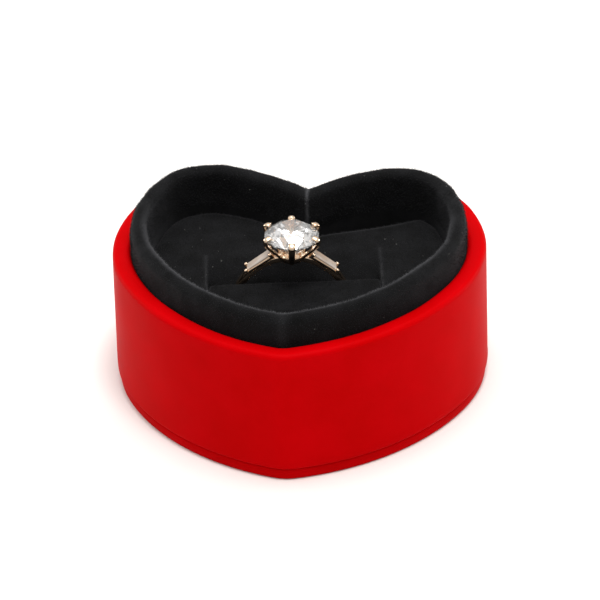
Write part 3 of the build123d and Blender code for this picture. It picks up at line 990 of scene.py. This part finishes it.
def set_side_stone(word, side):
    """A tapered baguette in its bar setting, with a small claw at each corner."""
    seat = side_matrix(side)
    stone = [p for grow, z in ((-0.06, 0.15), (0.05, 0.3), (0.05, 0.62), (-0.18, 0.82))
             for p in taper(grow, z)]
    piece = convex_piece(word + "_baguette_cut", placed(stone, seat), side_zirconia)
    finished(piece, "ring", "clear_stone", word + "_baguette")
    rows = [placed(taper(grow, z), seat) for grow, z in (
        (0.38, 0.0), (0.42, 0.06), (0.38, 0.2), (0.28, 0.4), (0.2, 0.46), (0.1, 0.46), (0.06, 0.4),
        (0.04, 0.14), (-0.5, 0.12), (-0.5, 0.0))]
    skins = [skin(rows, closed=True)]
    for x, y, _ in taper(0.2, 0):
        path = [Vector((x, y, z)) for z in (0.0, 0.3, 0.55, 0.72, 0.84, 0.92, 0.95)]
        sizes = [0.5, 0.6, 0.7, 0.76, 0.68, 0.46, 0.12]
        rows = [placed(row, seat) for row in tube(path, sizes, sizes, Vector((1, 0, 0)), 12)]
        skins.append(skin(rows, closed=False))
    piece = new_piece(word + "_setting_gold", *join_skins(skins), gold, 35)
    finished(piece, "ring", "rose_gold", word + "_setting")


# --- stage --------------------------------------------------------------------------------------
def lay_floor():
    """A wide white sheet under the box."""
    half = 3.0
    points = [(-half, -half, 0), (half, -half, 0), (half, half, 0), (-half, half, 0)]
    floor = new_piece("studio_floor", np.array(points) / MM, [(0, 1, 2, 3)], studio_paper())


def softbox(name, place, aim, size, power, colour="#FFFFFF"):
    """A square area light in metres and watts, aimed at a point."""
    lamp = bpy.data.lights.new(name, "AREA")
    lamp.shape, lamp.size, lamp.energy = "SQUARE", size, power
    lamp.color = linear(colour)[:3]
    light = bpy.data.objects.new(name, lamp)
    light.location = place
    light.rotation_euler = (Vector(aim) - Vector(place)).to_track_quat("-Z", "Y").to_euler()
    bpy.context.scene.collection.objects.link(light)


def light_tent():
    """An even white tent with a large softbox overhead, a small one that gives the ring its
    sparkle, and one at each side behind the box for the sides of its wall."""
    world = bpy.data.worlds.new("light_tent")
    world.use_nodes = True
    tree = world.node_tree
    direction = add_node(tree, "ShaderNodeTexCoord").outputs["Generated"]
    height = add_node(tree, "ShaderNodeSeparateXYZ", {"Vector": direction}).outputs["Z"]
    glow = ramp(tree, height, [(0.0, "#A6A6A6"), (0.25, "#BABABA"), (0.8, "#FFFFFF")])
    sky = tree.nodes["Background"]
    tree.links.new(glow, sky.inputs["Color"])
    sky.inputs["Strength"].default_value = 1.0
    bpy.context.scene.world = world
    softbox("overhead_softbox", (0.0, 0.15, 0.9), (0, 0, 0.02), 0.8, 5.1)
    softbox("sparkle_softbox", (0.12, -0.2, 1.0), (0, 0, 0.02), 0.2, 3.9)
    softbox("left_softbox", (-0.62, 0.36, 0.12), (0, 0, 0.01), 0.2, 1.1)
    softbox("right_softbox", (0.62, 0.36, 0.12), (0, 0, 0.01), 0.2, 1.5)


def place_camera():
    """A long lens from in front, a little to the right and above, held slightly out of level."""
    yaw, pitch, roll = math.radians(6.08), math.radians(32.0), math.radians(-1.96)
    distance, aim = 1.0284, Vector((-0.0003, 0.0080, 0.0119))
    turned = (
        Matrix.Rotation(yaw, 3, "Z") @ Matrix.Rotation(math.pi / 2 - pitch, 3, "X")
        @ Matrix.Rotation(roll, 3, "Z")
    )
    lens = bpy.data.cameras.new("camera")
    lens.sensor_width, lens.lens = 36.0, 382.2
    lens.clip_start, lens.clip_end = 0.05, 20.0
    camera = bpy.data.objects.new("camera", lens)
    camera.matrix_world = Matrix.Translation(aim + turned @ Vector((0, 0, distance))) @ turned.to_4x4()
    bpy.context.scene.collection.objects.link(camera)
    bpy.context.scene.camera = camera


# --- everything together ------------------------------------------------------------------------
for name in ("bottom_board", "wall_board", "collar_board", "pad_card", "flap_card"):
    board = frame["nodes"][name]
    board.data.materials.clear()
    board.data.materials.append(greyboard)

velvet_pile = pile_tree()
cover_bottom()
cover_wall()
cover_collar()
make_pad()
make_flap()
bend_band()
raise_head()
cut_brilliant()
set_side_stone("left", -1)
set_side_stone("right", 1)
lay_floor()
light_tent()
place_camera()
bpy.context.scene.view_settings.view_transform = "Standard"
